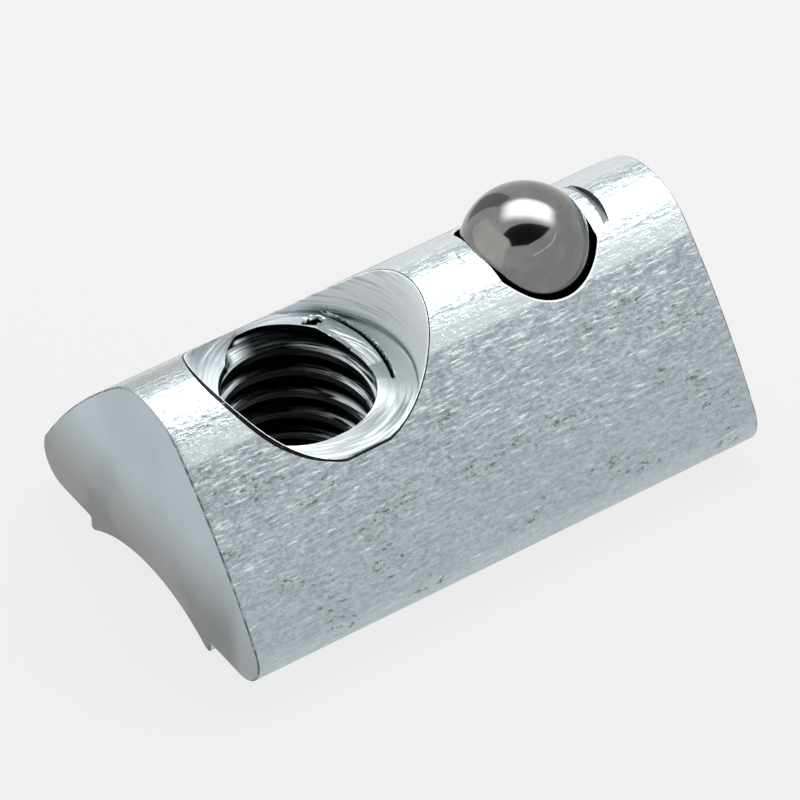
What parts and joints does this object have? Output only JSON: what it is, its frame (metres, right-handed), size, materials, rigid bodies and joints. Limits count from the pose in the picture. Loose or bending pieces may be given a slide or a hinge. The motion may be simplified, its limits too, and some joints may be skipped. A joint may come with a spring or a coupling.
{
  "type": "t slot nut",
  "caption": "Half-round steel roll-in nut for a T-slot rail, with a threaded through hole in a recessed seat and a sprung detent ball.",
  "frame": {"origin": "underside of the neck, at the middle of the length and of the width", "axes": "+X along the slot from the screw hole's end to the ball's end, +Y across the slot, +Z along the hole's axis from the neck to the ridge"},
  "size_m": [0.0264, 0.0168, 0.0127],
  "materials": {
    "plated_steel": "bright zinc plate over drawn and sawn steel, satin with fine lines along the length",
    "ball_steel": "polished hardened steel",
    "spring_steel": "bright drawn wire"
  },
  "bodies": {
    "nut": {"nut_body": "plated_steel", "ball_spring": "spring_steel"},
    "ball": {"detent_ball": "ball_steel"}
  },
  "joints": [
    {"name": "ball_press", "type": "slide", "parent": "nut", "child": "ball", "axis": [0, 0, -1], "range_m": [0, 0.0017], "stiffness_N_per_m": 1000, "springref_m": -0.001, "deforming": ["ball_spring"]}
  ]
}
